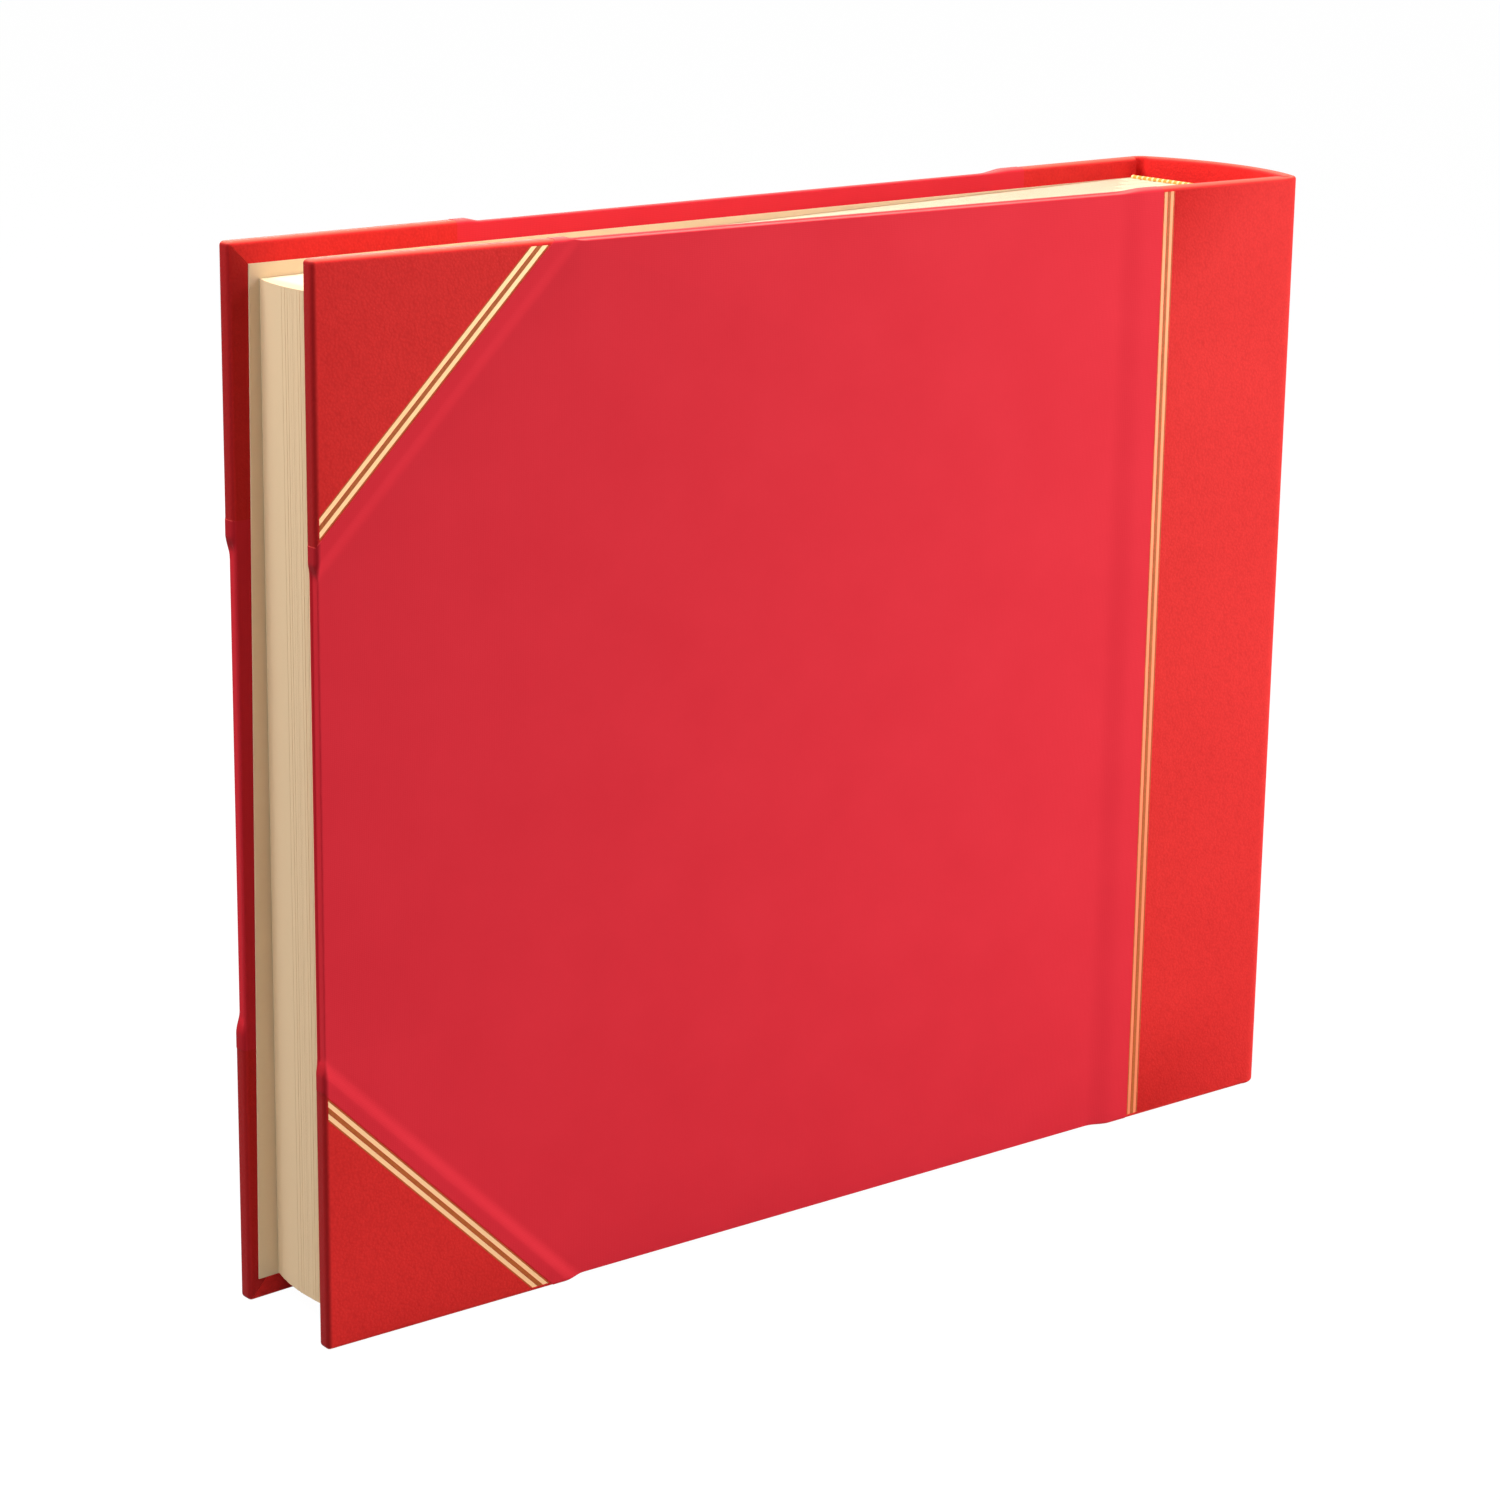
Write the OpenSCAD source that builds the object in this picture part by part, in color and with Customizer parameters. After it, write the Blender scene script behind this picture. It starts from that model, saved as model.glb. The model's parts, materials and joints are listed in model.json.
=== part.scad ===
// Half-leather album with guarded leaves, standing upright and closed.
// X runs along the covers (fore-edge at -X, spine at +X), the front cover faces -Y, Z is up.
// The origin is the middle of the foot of the album. Millimetres.

/* [Leaves] */
// Width of a leaf, from the sewn back to the fore-edge
leaf_w = 299; // [260:1:340]
// Height of a leaf
leaf_h = 250; // [220:1:290]
// Thickness of one leaf
leaf_t = 0.4; // [0.3:0.05:0.6]
// Air between two leaves at the fore-edge
leaf_air = 0.07; // [0.05:0.01:0.15]
// Folded sheets nested in one section
sheets = 3; // [2:1:3]
// Gap left between two sections
section_gap = 0.3; // [0.3:0.05:0.5]
// How much further the outermost leaves stand back at the fore-edge than the middle ones
fore_edge_bow = 2; // [0:0.5:4]
// Thickness of a flyleaf
flyleaf_t = 0.3; // [0.2:0.05:0.4]

/* [Guards] */
// Thickness of one section's guards at the sewn back
guard_stack_t = 4.83; // [4.5:0.05:5.6]
// Thickness of one guard strip
guard_t = 0.7; // [0.5:0.05:0.75]
// Depth from the sewn back to the outermost section's fold
first_fold = 10; // [9:0.5:14]
// Each section's fold stands this much further forward than the one outside it
fold_step = 6; // [5.8:0.1:7]
// Room between a section's fold line and the guards behind it
fold_room = 3.8; // [3.7:0.1:4.5]

/* [Covers] */
// Thickness of a cover board
board_t = 2.7; // [2:0.1:3.5]
// Cover overhang beyond the leaves at head and tail
square_ht = 7.5; // [5:0.5:10]
// Cover overhang beyond the leaves at the fore-edge
square_fore = 6.5; // [4:0.5:10]
// Distance from the sewn back to the spine corners of the covers
back_inset = 8; // [7:0.5:10]
// Board edge to spine corner: the flexible joint
joint_w = 5.5; // [4.5:0.5:7]
// Gap between a closed cover and the flyleaf
block_clear = 0.35; // [0.3:0.05:0.6]
// Thickness of a paste-down
paste_t = 0.3; // [0.2:0.05:0.4]
// Turned-in edge left showing around a paste-down
paste_square = 5.5; // [4:0.5:8]

/* [Leather and cloth] */
// Thickness of the leather on the outside
leather_t = 1.2; // [1:0.1:1.4]
// Thickness of the book cloth
cloth_t = 0.35; // [0.25:0.05:0.45]
// Thickness of leather and cloth where they are pared and turned in
turnin_t = 0.4; // [0.3:0.05:0.5]
// Width of the turn-ins on the inside of the boards
turnin_w = 15; // [12:1:20]
// Leg of the leather corner triangles
corner_leg = 70; // [62:1:90]
// Spine leather carried on to each board, measured from the spine corner
spine_lap = 57; // [48:1:75]
// The cloth laps over the edge of a leather corner by this much
corner_over = 2.7; // [2:0.1:4]
// The cloth laps over the edge of the spine leather by this much
spine_over = 5.8; // [3:0.2:8]

/* [Gold rules] */
// Width of one rule
rule_w = 0.9; // [0.6:0.1:1.2]
// Depth of a rule in the leather
rule_d = 0.15; // [0.1:0.05:0.25]
// From the cut edge of the cloth to the middle of the rule beside it
rule_gap = 1.15; // [0.8:0.05:1.5]
// Spacing of the two rules of a pair
rule_pitch = 2.2; // [1.8:0.1:2.6]

/* [Spine] */
// Rise of the rounded spine over its corners
spine_rise = 8; // [6:0.5:10]
// Thickness of the card that stiffens the spine
stiffener_t = 1.2; // [0.8:0.1:1.6]
// Each edge of the stiffener stands back this far from the spine corner
stiffener_inset = 2.5; // [2:0.5:4]
// Thickness of the kraft paper hollow
kraft_t = 0.3; // [0.2:0.05:0.5]
// The kraft hollow stands in from the block's sides by this much
kraft_inset = 1; // [0.8:0.2:2]
// The kraft hollow ends this far from the leather's turn-ins and the bands
kraft_clear = 1; // [0.5:0.5:5]
// Gap between the spine and a cover at the hinge line
hinge_gap = 0.2; // [0.15:0.05:0.3]

/* [Sewing] */
// Number of tapes across the back
tapes = 4; // [2:1:5]
// Width of a tape
tape_w = 12; // [8:1:16]
// Thickness of a tape
tape_t = 0.5; // [0.3:0.1:0.8]
// Distance of the outer tapes from head and tail of the leaves
tape_end = 45; // [40:1:60]
// Diameter of the sewing thread
thread_d = 0.5; // [0.4:0.1:0.8]
// Each stitch reaches this far past its tape
stitch_over = 1; // [0.5:0.5:2]
// Kettle stitches lie this far from head and tail
kettle_in = 16; // [15:1:20]
// The sewing, mull and bands end this far inside the outer sections
sewn_inset = 0.5; // [0:0.5:2]
// Thickness of the mull
mull_t = 0.3; // [0.2:0.05:0.5]
// The mull ends this far from head and tail of the leaves
mull_end = 18; // [17:1:30]
// Diameter of the head band's bead
bead_d = 2.2; // [1.6:0.2:2.6]
// Height of the head band's ribbon down the back
band_h = 12; // [8:1:14]
// Thickness of the head band's ribbon
band_t = 0.5; // [0.3:0.1:0.8]

/* [Hidden] */
// One node for each sewn section and one for its guards
sections = 10;
function two(k) = k < 10 ? str("0", k) : str(k);
function leaves_name(k) = str("leaves_", two(k));
function guards_name(k) = str("guards_", two(k));

$fn = 64;
far = 1000;
FRONT = 1;
BACK = -1;

leather_red = [0.80, 0.20, 0.18];
cloth_red = [0.84, 0.20, 0.24];
gold = [0.93, 0.72, 0.38];
cream = [0.93, 0.88, 0.75];
card_grey = [0.62, 0.58, 0.52];
kraft_brown = [0.70, 0.55, 0.38];

// Thickness of one section, and its share of the block, at the fore-edge and at the back
leaves = 2 * sheets;
section_t = leaves * leaf_t + (leaves - 1) * leaf_air;
pitch_fore = section_t + section_gap;
pitch_back = guard_stack_t + section_gap;

// Places along X
cover_run = square_fore + leaf_w + back_inset;
x_fore = -(cover_run + spine_rise) / 2;
x_corner = x_fore + cover_run;
x_leaf = x_fore + square_fore;
x_back = x_corner - back_inset;

// Half thickness of the block at both ends, and the slope of the covers
half_fore = (sections * pitch_fore - section_gap) / 2 + flyleaf_t;
half_back = (sections * pitch_back - section_gap) / 2 + flyleaf_t;
slope = atan2(half_back - half_fore, leaf_w);

cover_h = leaf_h + 2 * square_ht;
cover_w = cover_run / cos(slope);
cover_t = leather_t + board_t + turnin_t + paste_t;
cloth_leg = corner_leg - corner_over * sqrt(2);
cloth_edge = spine_lap - spine_over;
function outer_y(x) = half_fore + block_clear + (x - x_leaf) * tan(slope) + cover_t / cos(slope);

spine_half = outer_y(x_corner);
spine_r = (pow(spine_half, 2) + pow(spine_rise, 2)) / (2 * spine_rise);
spine_x = x_corner + spine_rise - spine_r;

// A section's place: side to side across the block, its fold line and its half thickness
function row(k) = k - (sections + 1) / 2;
function pitch(x) = pitch_fore + (pitch_back - pitch_fore) * (x - x_leaf) / leaf_w;
function slot_y(k, x) = row(k) * pitch(x);
function depth(k) = first_fold + fold_step * (sections / 2 - 0.5 - abs(row(k)));
function fold_x(k) = x_back - depth(k);
function fold_r(k) = (pitch(fold_x(k)) - section_gap) / 2;
function fore_x(y) = x_leaf + fore_edge_bow * pow(y / half_fore, 2);

// ---- Covers, drawn flat: X from the fore-edge, Y inwards from the outer face, Z up ----

module place_cover(side) {
    mirror([0, side == BACK ? 1 : 0, 0])
        translate([x_fore, -outer_y(x_fore), 0])
            rotate([0, 0, -slope])
                children();
}

// A rectangle with round corners of radius r, from corner a to corner b
module round_rect(a, b, r) {
    translate([a.x + r, a.y]) square([b.x - a.x - 2 * r, b.y - a.y]);
    translate([a.x, a.y + r]) square([b.x - a.x, b.y - a.y - 2 * r]);
    for (x = [a.x + r, b.x - r])
        for (y = [a.y + r, b.y - r])
            translate([x, y]) circle(r);
}

// The covered board's outside, inset from the leather's surface, with round edges of radius r
module skin(inset, r) {
    inner = leather_t + board_t + turnin_t;
    intersection() {
        linear_extrude(cover_h)
            round_rect([inset, inset], [cover_w + 4 * r, inner], r);
        rotate([90, 0, 90])
            linear_extrude(cover_w - hinge_gap)
                round_rect([inset, inset], [inner, cover_h - inset], r);
    }
}

module board_solid() {
    translate([leather_t, leather_t, leather_t])
        cube([cover_w - joint_w - leather_t, board_t, cover_h - 2 * leather_t]);
}

// The field inside the turn-ins, which the lining fills
module lining_space(length) {
    translate([turnin_w, leather_t + board_t, turnin_w])
        cube([length, turnin_t, cover_h - 2 * turnin_w]);
}

// Everything within a leg of one corner of the board's fore-edge
module corner_prism(top, leg) {
    translate([0, far / 2, top ? cover_h : 0])
        mirror([0, 0, top ? 1 : 0])
            rotate([90, 0, 0])
                linear_extrude(far)
                    polygon([[-1, -1], [leg + 1, -1], [-1, leg + 1]]);
}

// Everything within a distance of the spine corner
module spine_side(reach) {
    translate([cover_w - reach, -far / 2, -1]) cube(far);
}

// All that the leather covers, its edges moved out by a distance
module leather_reach(out) {
    corner_prism(false, corner_leg + out * sqrt(2));
    corner_prism(true, corner_leg + out * sqrt(2));
    spine_side(spine_lap + out);
}

// The leather the cloth leaves in sight
module bare_leather() {
    corner_prism(false, cloth_leg);
    corner_prism(true, cloth_leg);
    spine_side(cloth_edge);
}

// Up to where the turned edge starts to round on to the inside of the cover
module outer_half() {
    translate([-1, -1, -1]) cube([far, board_t + turnin_t + 1, far]);
}

// Where cloth lies over leather: a skin of its thickness beyond the leather left in sight
module lap_space() {
    difference() {
        outer_half();
        skin(cloth_t, leather_t - cloth_t);
        bare_leather();
    }
}

module board() {
    color(card_grey) board_solid();
}

module board_lining() {
    color(card_grey) lining_space(cover_w - joint_w - turnin_w);
}

module cloth() {
    color(cloth_red)
        difference() {
            union() {
                skin(leather_t - cloth_t, cloth_t);
                intersection() {
                    skin(0, leather_t);
                    outer_half();
                    leather_reach(cloth_t);
                }
            }
            board_solid();
            lining_space(far);
            difference() {
                leather_reach(0);
                lap_space();
            }
        }
}

module spine_side_leather() {
    joint_x = cover_w - joint_w;
    color(leather_red)
        difference() {
            intersection() {
                skin(0, leather_t);
                spine_side(spine_lap);
            }
            board_solid();
            lining_space(far);
            lap_space();
            translate([joint_x, leather_t, turnin_w])
                cube([far, far, cover_h - 2 * turnin_w]);
            translate([joint_x, leather_t + turnin_t, -1]) cube([far, far, far]);
            for (i = [0, 1]) spine_rule_bar(i);
        }
}

module corner_leather(top) {
    color(leather_red)
        difference() {
            intersection() {
                skin(0, leather_t);
                corner_prism(top, corner_leg);
            }
            board_solid();
            lining_space(far);
            lap_space();
            for (i = [0, 1]) corner_rule_bar(top, i);
        }
}

// One rule across a corner, between the flat parts of the face
module corner_rule_bar(top, i) {
    leg = cloth_leg - (rule_gap + i * rule_pitch) * sqrt(2);
    half = rule_w / sqrt(2);
    e = leather_t;
    translate([0, rule_d, top ? cover_h : 0])
        mirror([0, 0, top ? 1 : 0])
            rotate([90, 0, 0])
                linear_extrude(rule_d)
                    polygon([[leg - half - e, e], [leg + half - e, e],
                        [e, leg + half - e], [e, leg - half - e]]);
}

module spine_rule_bar(i) {
    translate([cover_w - cloth_edge + rule_gap + i * rule_pitch - rule_w / 2, 0, leather_t])
        cube([rule_w, rule_d, cover_h - 2 * leather_t]);
}

module gold_rules() {
    color(gold)
        for (i = [0, 1]) {
            spine_rule_bar(i);
            corner_rule_bar(false, i);
            corner_rule_bar(true, i);
        }
}

module paste_down() {
    color(cream)
        translate([paste_square, leather_t + board_t + turnin_t, paste_square])
            cube([cover_w - joint_w - paste_square, paste_t, cover_h - 2 * paste_square]);
}

// ---- Spine ----

// A ring about the spine's centre, from radius r2 out to r1, on the spine side of plane x
module spine_ring(r1, r2, x) {
    intersection() {
        translate([spine_x, 0])
            difference() {
                circle(r1, $fn = 180);
                circle(r2, $fn = 180);
            }
        translate([x, -far / 2]) square(far);
    }
}

// Leather over the stiffener, turned in over head and tail
module spine_leather() {
    r_card = spine_r - leather_t;
    r_in = r_card - stiffener_t - turnin_t;
    color(leather_red)
        difference() {
            linear_extrude(cover_h)
                spine_ring(spine_r, r_in, x_corner + hinge_gap);
            translate([spine_x, 0, turnin_w])
                cylinder(r = r_card, h = cover_h - 2 * turnin_w, $fn = 180);
            translate([0, 0, leather_t])
                linear_extrude(cover_h - 2 * leather_t)
                    spine_ring(r_card, r_card - stiffener_t, x_corner);
        }
}

module spine_stiffener() {
    r_card = spine_r - leather_t;
    color(card_grey)
        translate([0, 0, leather_t])
            linear_extrude(cover_h - 2 * leather_t)
                intersection() {
                    spine_ring(r_card, r_card - stiffener_t, x_corner + hinge_gap);
                    translate([0, -spine_half + stiffener_inset])
                        square([far, 2 * (spine_half - stiffener_inset)]);
                }
}

// Outline of the hollow between the mull and the stiffener, inset by t
module hollow_outline(t) {
    half = half_back - kraft_inset - t;
    x_mull = x_back + tape_t + thread_d + mull_t;
    intersection() {
        translate([spine_x, 0])
            circle(spine_r - leather_t - stiffener_t - t, $fn = 180);
        translate([x_mull + t, -half]) square([far, 2 * half]);
    }
}

module kraft_hollow() {
    end = max(turnin_w, square_ht + band_h) + kraft_clear;
    color(kraft_brown)
        translate([0, 0, end])
            linear_extrude(cover_h - 2 * end)
                difference() {
                    hollow_outline(0);
                    hollow_outline(kraft_t);
                }
}

// ---- Sewn back ----

back_half = half_back - flyleaf_t - sewn_inset;

module mull() {
    color("ivory")
        translate([x_back + tape_t + thread_d, -back_half, square_ht + mull_end])
            cube([mull_t, 2 * back_half, leaf_h - 2 * mull_end]);
}

function tape_z(i) = square_ht + tape_end + i * (leaf_h - 2 * tape_end) / (tapes - 1);

module tapes() {
    color("linen")
        for (i = [0:tapes - 1])
            translate([x_back, -back_half, tape_z(i) - tape_w / 2])
                cube([tape_t, 2 * back_half, tape_w]);
}

// One stitch of each section over each tape, and a kettle stitch along head and tail
module sewing_thread() {
    length = tape_w + 2 * stitch_over;
    color("wheat") {
        for (i = [0:tapes - 1])
            for (k = [1:sections])
                translate([x_back + tape_t + thread_d / 2, slot_y(k, x_back), tape_z(i) - length / 2])
                    cylinder(d = thread_d, h = length, $fn = 16);
        for (z = [square_ht + kettle_in, cover_h - square_ht - kettle_in])
            translate([x_back + thread_d / 2, back_half, z])
                rotate([90, 0, 0])
                    cylinder(d = thread_d, h = 2 * back_half, $fn = 16);
    }
}

// A bead on the edge of the leaves, with a ribbon down the back; drawn for the tail
module band() {
    color(gold) {
        translate([x_back + band_t - bead_d / 2, back_half, -bead_d / 2])
            rotate([90, 0, 0])
                cylinder(d = bead_d, h = 2 * back_half, $fn = 32);
        translate([x_back, -back_half, -bead_d / 2])
            cube([band_t, 2 * back_half, band_h + bead_d / 2]);
    }
}

module head_band() {
    translate([0, 0, cover_h - square_ht]) mirror([0, 0, 1]) band();
}

module tail_band() {
    translate([0, 0, square_ht]) band();
}

// ---- Sections ----

// A folded sheet: a half-round fold of middle radius r at the origin and two legs to -X
// that end at x_up and x_low, the given offset either side of the middle
module folded_sheet(r, t, x_up, x_low, offset) {
    intersection() {
        difference() {
            circle(r + t / 2);
            circle(r - t / 2);
        }
        translate([0, -far / 2]) square(far);
    }
    polygon([[0, r - t / 2], [0, r + t / 2], [x_up, offset + t / 2], [x_up, offset - t / 2]]);
    polygon([[0, -r - t / 2], [0, -r + t / 2], [x_low, -offset + t / 2], [x_low, -offset - t / 2]]);
}

// Puts a section's own frame in the block: origin on its fold line, -X towards the fore-edge
module place_section(k, x) {
    translate([x, slot_y(k, x), square_ht])
        rotate([0, 0, atan2(slot_y(k, x) - slot_y(k, x_leaf), x - x_leaf)])
            children();
}

// Offset of nested sheet i from the section's middle: the legs lie between half and t
function nest(i, half, t) = (half - t / 2) * (1 - i / (sheets - 0.5));

module leaves(k) {
    run = fold_x(k) - x_leaf;
    turn = atan2(slot_y(k, fold_x(k)) - slot_y(k, x_leaf), run);
    color(cream)
        place_section(k, fold_x(k))
            linear_extrude(leaf_h)
                for (i = [0:sheets - 1]) {
                    offset = nest(i, section_t / 2, leaf_t);
                    up = fore_x(slot_y(k, x_leaf) + offset);
                    low = fore_x(slot_y(k, x_leaf) - offset);
                    folded_sheet(nest(i, fold_r(k), leaf_t), leaf_t,
                        -(fold_x(k) - up) / cos(turn), -(fold_x(k) - low) / cos(turn), offset);
                }
}

// A section's guards: nested strips folded round the sewing at the back
module guards(k) {
    r = guard_stack_t / 2;
    x = x_back - r;
    open = fold_x(k) + fold_room;
    half = (pitch(open) - section_gap) / 2;
    color("antiquewhite")
        place_section(k, x)
            linear_extrude(leaf_h)
                for (i = [0:sheets - 1])
                    folded_sheet(nest(i, r, guard_t), guard_t, open - x, open - x,
                        nest(i, half, guard_t));
}

// The free half of an endpaper, tipped on to the outer leaf of the first or last section
module flyleaf(side) {
    k = side == FRONT ? 1 : sections;
    run = fold_x(k) - x_leaf;
    turn = atan2(slot_y(k, fold_x(k)) - slot_y(k, x_leaf), run);
    a = fold_r(k);
    b = section_t / 2;
    end = -(fold_x(k) - fore_x(slot_y(sections, x_leaf) + b - leaf_t / 2)) / cos(turn);
    color(cream)
        place_section(k, fold_x(k))
            linear_extrude(leaf_h)
                mirror([0, side == FRONT ? 1 : 0])
                    polygon([[0, a], [0, a + flyleaf_t], [end, b + flyleaf_t], [end, b]]);
}

for (side = [FRONT, BACK]) {
    name = side == FRONT ? "front_" : "back_";
    place_cover(side) board();
    place_cover(side) board_lining();
    place_cover(side) cloth();
    place_cover(side) spine_side_leather();
    place_cover(side) corner_leather(true);
    place_cover(side) corner_leather(false);
    place_cover(side) gold_rules();
    place_cover(side) paste_down();
    flyleaf(side);
}
spine_leather();
spine_stiffener();
kraft_hollow();
mull();
tapes();
sewing_thread();
head_band();
tail_band();
for (k = [1:sections]) {
    leaves(k);
    guards(k);
}
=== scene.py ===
import bpy
import json
import math
import random
from mathutils import Matrix, Vector


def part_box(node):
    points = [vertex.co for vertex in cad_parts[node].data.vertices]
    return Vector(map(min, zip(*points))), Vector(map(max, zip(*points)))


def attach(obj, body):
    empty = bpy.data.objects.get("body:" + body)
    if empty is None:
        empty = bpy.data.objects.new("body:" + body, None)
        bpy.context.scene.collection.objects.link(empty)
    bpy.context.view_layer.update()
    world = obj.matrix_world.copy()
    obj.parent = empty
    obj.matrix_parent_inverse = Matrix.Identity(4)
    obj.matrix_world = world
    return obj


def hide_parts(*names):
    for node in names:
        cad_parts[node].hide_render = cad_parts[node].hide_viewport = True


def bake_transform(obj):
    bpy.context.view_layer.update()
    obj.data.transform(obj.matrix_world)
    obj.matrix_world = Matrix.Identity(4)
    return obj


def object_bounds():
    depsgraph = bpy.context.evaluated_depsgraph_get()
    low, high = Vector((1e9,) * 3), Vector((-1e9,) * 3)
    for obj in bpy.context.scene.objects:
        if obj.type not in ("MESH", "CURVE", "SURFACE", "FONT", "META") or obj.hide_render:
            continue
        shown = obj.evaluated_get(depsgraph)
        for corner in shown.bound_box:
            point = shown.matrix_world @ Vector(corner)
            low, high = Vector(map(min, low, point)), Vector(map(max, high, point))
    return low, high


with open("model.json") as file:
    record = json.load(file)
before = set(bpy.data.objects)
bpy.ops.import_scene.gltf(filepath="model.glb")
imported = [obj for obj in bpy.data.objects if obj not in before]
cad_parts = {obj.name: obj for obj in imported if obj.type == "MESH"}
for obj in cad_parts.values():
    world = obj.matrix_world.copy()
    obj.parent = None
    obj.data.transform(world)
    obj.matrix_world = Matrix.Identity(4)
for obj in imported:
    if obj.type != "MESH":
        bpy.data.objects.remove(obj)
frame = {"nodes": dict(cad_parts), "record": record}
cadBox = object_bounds()
record = frame["record"]
hinges = {joint["name"]: joint for joint in record["behaviour"]["joints"]}
print("album: frame loaded")

# The case, in metres; what the frame knows is read from it
case = {
    "leather": 0.0012,              # leather on the outside, and the radius of every covered edge
    "coverThick": 0.0043,           # leather, board and turn-in
    "jointThick": 0.0019,           # leather folded on itself between board and spine
    "spineThick": 0.0028,           # leather, stiffener and turn-in
    "turnIn": 0.015,                # how far leather and cloth reach over the inside
    "joint": 0.0055,                # board edge to spine corner
    "thins": (-0.0054, -0.0040),    # where the board gives way to the joint, from the spine corner
    "thickens": (0.0015, 0.0035),   # where the joint gives way to the spine
    "cornerRound": 0.0036,          # how far the rounding of the spine corner reaches each way
    "roundShare": 0.93,             # length of that rounding over the way round a sharp corner
    "turnLines": (-1, -0.8, -0.55, -0.3, 0, 0.3, 0.55, 0.8, 1),     # in radii of a covered edge
}
faceMount = [mount for mount in record["mounts"] if mount["name"] == "front_face"][0]
slant = math.asin(-faceMount["axis"][0])
spineCorner = Vector(hinges["front_cover_hinge"]["pos_m"])
foreEdge = cadBox[0][0]
coverHigh = cadBox[1][2]
coverWide = (spineCorner.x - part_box("front_tail_corner")[0][0]) / math.cos(slant)
spineHalf = -spineCorner.y
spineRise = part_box("spine_leather")[1][0] - spineCorner.x
spineRadius = (spineHalf ** 2 + spineRise ** 2) / (2 * spineRise)
spineCentre = spineCorner.x + spineRise - spineRadius
cornerAngle = math.asin(spineHalf / spineRadius)

mergeWithin = 1e-7      # points nearer than this become one
smoothBelow = 40        # edges flatter than this many degrees are shaded smooth


def smoothStep(low, high, value):
    share = min(max((value - low) / (high - low), 0), 1)
    return share * share * (3 - 2 * share)


def evenLines(length, parts):
    return [length * step / parts for step in range(1, parts)]


def deselectAll():
    if bpy.context.object and bpy.context.object.mode != "OBJECT":
        bpy.ops.object.mode_set(mode="OBJECT")
    bpy.ops.object.select_all(action="DESELECT")


def pick(piece):
    deselectAll()
    piece.select_set(True)
    bpy.context.view_layer.objects.active = piece


def rename(piece, name):
    piece.name = name
    piece.data.name = name
    return piece


def joinPieces(pieces, name):
    pick(pieces[0])
    for piece in pieces:
        piece.select_set(True)
    if len(pieces) > 1:
        bpy.ops.object.join()
    return rename(bpy.context.object, name)


def applyModifier(piece, kind, **settings):
    pick(piece)
    modifier = piece.modifiers.new(kind.title(), kind)
    for key, value in settings.items():
        setattr(modifier, key, value)
    bpy.ops.object.modifier_apply(modifier=modifier.name)


# Merges doubles and shades; a tube also gets its ends filled and its faces turned outwards
def finishEdges(piece, tube=False):
    pick(piece)
    bpy.ops.object.mode_set(mode="EDIT")
    bpy.ops.mesh.select_mode(type="VERT")
    bpy.ops.mesh.select_all(action="SELECT")
    bpy.ops.mesh.remove_doubles(threshold=mergeWithin)
    if tube:
        bpy.ops.mesh.select_all(action="SELECT")
        bpy.ops.mesh.fill_holes(sides=0)
        bpy.ops.mesh.select_all(action="SELECT")
        bpy.ops.mesh.normals_make_consistent(inside=False)
    bpy.ops.object.mode_set(mode="OBJECT")
    bpy.ops.object.shade_smooth_by_angle(angle=math.radians(smoothBelow))


def turnFaces(piece):
    pick(piece)
    bpy.ops.object.mode_set(mode="EDIT")
    bpy.ops.mesh.select_all(action="SELECT")
    bpy.ops.mesh.flip_normals()
    bpy.ops.object.mode_set(mode="OBJECT")


# A grid whose corners are set on rings of points, closed to a tube
def tubeThrough(name, rings):
    deselectAll()
    around, along = len(rings[0]), len(rings) - 1
    bpy.ops.mesh.primitive_grid_add(x_subdivisions=around, y_subdivisions=along, size=2)
    piece = rename(bpy.context.object, name)
    for vert in piece.data.vertices:
        column = round((vert.co.x + 1) / 2 * around) % around
        vert.co = rings[round((vert.co.y + 1) / 2 * along)][column]
    finishEdges(piece, tube=True)
    return piece


# The outer face of the case, from fore-edge to the middle of the spine
filletStart = coverWide - case["cornerRound"]
filletEndAngle = cornerAngle - case["cornerRound"] / spineRadius


def alongCover(a):
    back = coverWide - a
    return Vector((spineCorner.x - back * math.cos(slant), -spineHalf + back * math.sin(slant)))


filletFrom = alongCover(filletStart)
filletCorner = alongCover(coverWide)
filletTo = Vector((spineCentre + spineRadius * math.cos(filletEndAngle),
                   -spineRadius * math.sin(filletEndAngle)))
sharpWay = (filletCorner - filletFrom).length + (filletTo - filletCorner).length
filletLong = case["roundShare"] * sharpWay
caseMiddle = filletStart + filletLong + spineRadius * filletEndAngle


# The face and the direction into the case, seen from above, for the front half
def facePoint(a):
    if a <= filletStart:
        return alongCover(a), Vector((math.sin(slant), math.cos(slant)))
    if a <= filletStart + filletLong:
        t = (a - filletStart) / filletLong
        first, second = filletCorner - filletFrom, filletTo - filletCorner
        point = filletFrom + first * (2 * t) + (second - first) * (t * t)
        run = (first + (second - first) * t).normalized()
        return point, Vector((-run.y, run.x))
    angle = -filletEndAngle + (a - filletStart - filletLong) / spineRadius
    out = Vector((math.cos(angle), math.sin(angle)))
    return Vector((spineCentre, 0)) + out * spineRadius, -out


# A spot of the front half, carried over to the back half where the piece is the back one's
def onSide(side, x, y, z):
    return Vector((x, y if side == "front" else -y, z))


def thicknessAt(a):
    cover, joint, spine = case["coverThick"], case["jointThick"], case["spineThick"]
    highlightMost, thickened = (smoothStep(coverWide + low, coverWide + high, a)
                          for low, high in (case["thins"], case["thickens"]))
    return cover + (joint - cover) * highlightMost + (spine - joint) * thickened


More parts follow.
